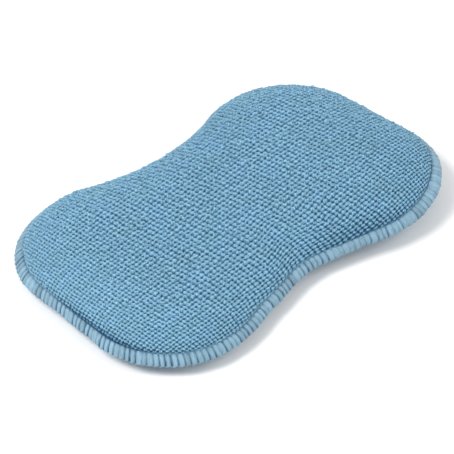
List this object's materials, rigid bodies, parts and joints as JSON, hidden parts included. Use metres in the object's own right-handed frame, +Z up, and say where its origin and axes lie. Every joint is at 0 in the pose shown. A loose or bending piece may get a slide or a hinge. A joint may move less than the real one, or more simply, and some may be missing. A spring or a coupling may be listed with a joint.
{
  "type": "cleaning sponge",
  "caption": "Waisted soft cleaning sponge: a foam core in two looped microfibre panels, closed all round by an overlock edge.",
  "frame": {"origin": "middle of the flat underside, where the pad rests", "axes": "+X along the pad's length, +Y across it, +Z up through its thickness"},
  "size_m": [0.15, 0.098, 0.016],
  "materials": {
    "microfibre": "looped pile, soft and matt with a faint sheen",
    "foam": "open-cell foam, matt",
    "thread": "spun polyester thread, matt"
  },
  "bodies": {
    "root": {"top_cover": "microfibre", "bottom_cover": "microfibre", "foam_core": "foam", "edge_stitching": "thread"}
  },
  "joints": []
}
